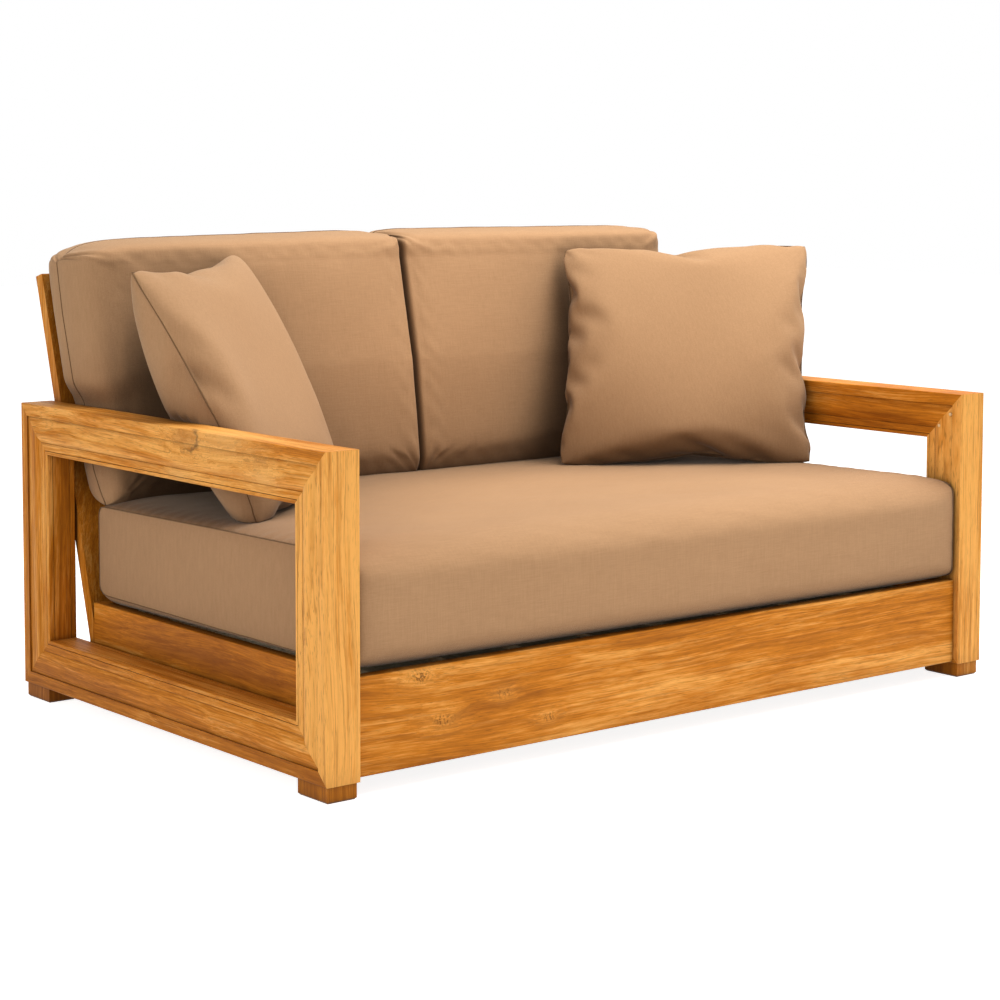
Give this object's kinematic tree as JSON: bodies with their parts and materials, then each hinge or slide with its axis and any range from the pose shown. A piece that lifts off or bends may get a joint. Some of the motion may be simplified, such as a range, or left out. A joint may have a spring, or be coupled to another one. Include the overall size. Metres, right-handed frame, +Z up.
{
  "type": "patio loveseat",
  "caption": "Timber patio loveseat with moulded picture-frame arms, slatted seat box, raked slatted back, a seat cushion, back cushions and throw pillows.",
  "frame": {"origin": "on the floor, under the middle of the whole piece's bounding box", "axes": "+X runs across the seat to the sitter's left, +Y from the front to the back, +Z up"},
  "size_m": [1.536, 1.0296, 0.8443],
  "materials": {
    "teak": "oiled, straight grain",
    "foot_wood": "oiled, darker",
    "peg_wood": "end grain",
    "cushion_fabric": "plain weave",
    "pillow_fabric": "plain weave",
    "seat_foam": "open-cell foam",
    "fibre_fill": "loose fibre",
    "bolt_steel": "satin",
    "screw_steel": "satin"
  },
  "bodies": {
    "root": {"arm_bolt_inserts": "bolt_steel", "arm_bolt_washers": "bolt_steel", "arm_bolts": "bolt_steel", "arm_mitre_pegs": "peg_wood", "arm_mitre_tongues": "teak", "back_bottom_rail": "teak", "back_post_bolts": "bolt_steel", "back_post_screws": "screw_steel", "back_slat_1": "teak", "back_slat_2": "teak", "back_slat_3": "teak", "back_slat_4": "teak", "back_slat_5": "teak", "back_slat_6": "teak", "back_slat_7": "teak", "back_top_rail": "teak", "bearer_blocks": "teak", "centre_bearer": "teak", "cleat_screws": "screw_steel", "corner_blocks": "teak", "foot_screws": "screw_steel", "front_apron": "teak", "front_left_foot": "foot_wood", "front_right_foot": "foot_wood", "front_slat_cleat": "teak", "left_arm_bottom_rail": "teak", "left_arm_front_post": "teak", "left_arm_rear_post": "teak", "left_arm_top_rail": "teak", "left_back_cushion_cover": "cushion_fabric", "left_back_cushion_fill": "fibre_fill", "left_back_post": "teak", "left_side_rail": "teak", "left_throw_pillow_cover": "pillow_fabric", "left_throw_pillow_fill": "fibre_fill", "rear_apron": "teak", "rear_left_foot": "foot_wood", "rear_right_foot": "foot_wood", "rear_slat_cleat": "teak", "right_arm_bottom_rail": "teak", "right_arm_front_post": "teak", "right_arm_rear_post": "teak", "right_arm_top_rail": "teak", "right_back_cushion_cover": "cushion_fabric", "right_back_cushion_fill": "fibre_fill", "right_back_post": "teak", "right_side_rail": "teak", "right_throw_pillow_cover": "pillow_fabric", "right_throw_pillow_fill": "fibre_fill", "seat_cushion_core": "seat_foam", "seat_cushion_cover": "cushion_fabric", "seat_slat_1": "teak", "seat_slat_2": "teak", "seat_slat_3": "teak", "seat_slat_4": "teak", "seat_slat_5": "teak", "seat_slat_6": "teak", "seat_slat_7": "teak", "seat_slat_8": "teak", "slat_screws": "screw_steel"}
  },
  "joints": []
}
